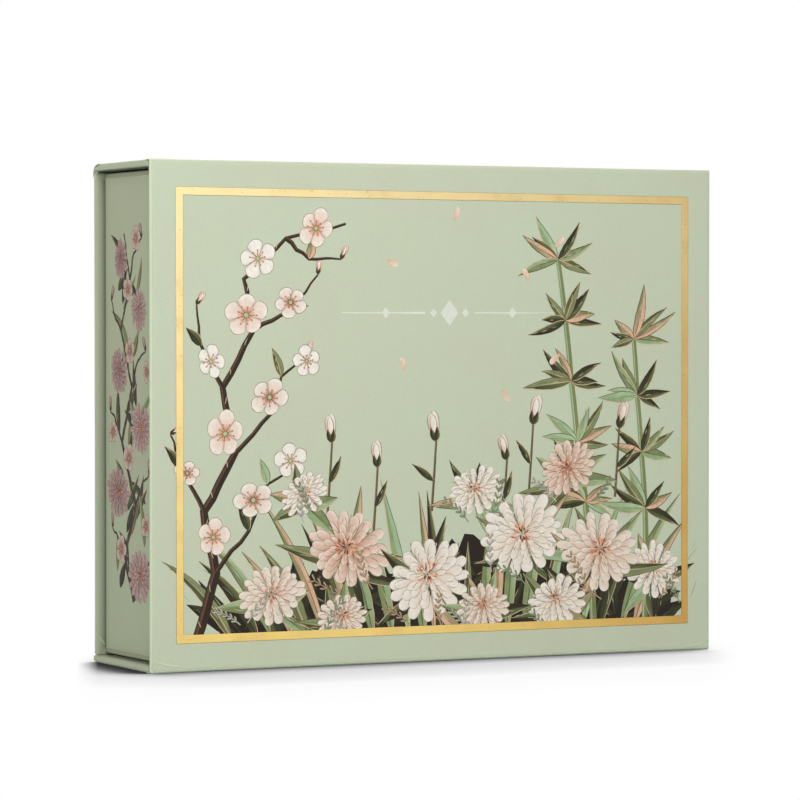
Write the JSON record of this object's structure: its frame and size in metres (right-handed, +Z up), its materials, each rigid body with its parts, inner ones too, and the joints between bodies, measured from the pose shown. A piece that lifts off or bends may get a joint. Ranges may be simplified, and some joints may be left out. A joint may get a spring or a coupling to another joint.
{
  "type": "mahjong card deck",
  "caption": "Book-style rigid card box with a magnetic flap, a wrapped four-board cover with a foil frame line, and a tray with two wells of playing cards.",
  "frame": {"origin": "middle of the footprint on the surface that the box stands on, with the box standing on its closed flap", "axes": "+X along the box's width, +Y from the lid to the back, +Z up from the flap to the spine"},
  "size_m": [0.1252, 0.0298, 0.099],
  "materials": {
    "sage_paper": "matte",
    "liner_paper": "matte",
    "greyboard": "matte",
    "gold_foil": "satin",
    "print_paper": "matte",
    "card_stock": "satin",
    "magnet": "satin",
    "steel_disc": "satin"
  },
  "bodies": {
    "base": {"base_board": "greyboard", "base_wrap": "sage_paper", "base_liner": "liner_paper", "tray_wall_top": "greyboard", "tray_wall_bottom": "greyboard", "tray_wall_left": "greyboard", "tray_wall_right": "greyboard", "tray_floor": "greyboard", "tray_wrap": "sage_paper", "tray_liner": "liner_paper", "tray_end_print_left": "print_paper", "tray_end_print_right": "print_paper", "tray_steel_disc_left": "steel_disc", "tray_steel_disc_right": "steel_disc", "divider_board": "greyboard", "divider_wrap": "sage_paper", "cards_dots": "card_stock", "cards_bamboo": "card_stock", "cards_spare": "card_stock", "card_top_left": "card_stock", "cards_characters": "card_stock", "cards_honours": "card_stock", "cards_flowers": "card_stock", "card_top_right": "card_stock", "hinge_paper_base_spine": "sage_paper"},
    "spine": {"spine_board": "greyboard", "spine_wrap": "sage_paper", "spine_liner": "liner_paper"},
    "lid": {"lid_board": "greyboard", "lid_wrap": "sage_paper", "lid_liner": "liner_paper", "lid_foil_frame": "gold_foil", "hinge_paper_spine_lid": "sage_paper", "hinge_paper_lid_flap": "sage_paper"},
    "flap": {"flap_board": "greyboard", "flap_wrap": "sage_paper", "flap_liner": "liner_paper", "flap_magnet_left": "magnet", "flap_magnet_right": "magnet"}
  },
  "joints": [
    {"name": "spine_hinge", "type": "hinge", "parent": "base", "child": "spine", "pos_m": [0, 0.01453, 0.0975], "axis": [-1, 0, 0], "range_deg": [0, 60], "deforming": ["hinge_paper_base_spine"]},
    {"name": "lid_hinge", "type": "hinge", "parent": "spine", "child": "lid", "pos_m": [0, -0.01343, 0.099], "axis": [-1, 0, 0], "range_deg": [0, 120], "deforming": ["hinge_paper_spine_lid"]},
    {"name": "flap_hinge", "type": "hinge", "parent": "lid", "child": "flap", "pos_m": [0, -0.01343, 0], "axis": [-1, 0, 0], "range_deg": [0, 120], "deforming": ["hinge_paper_lid_flap"]}
  ],
  "couplings": [
    {"joint": "spine_hinge", "follows": "lid_hinge", "ratio": 0.5}
  ]
}
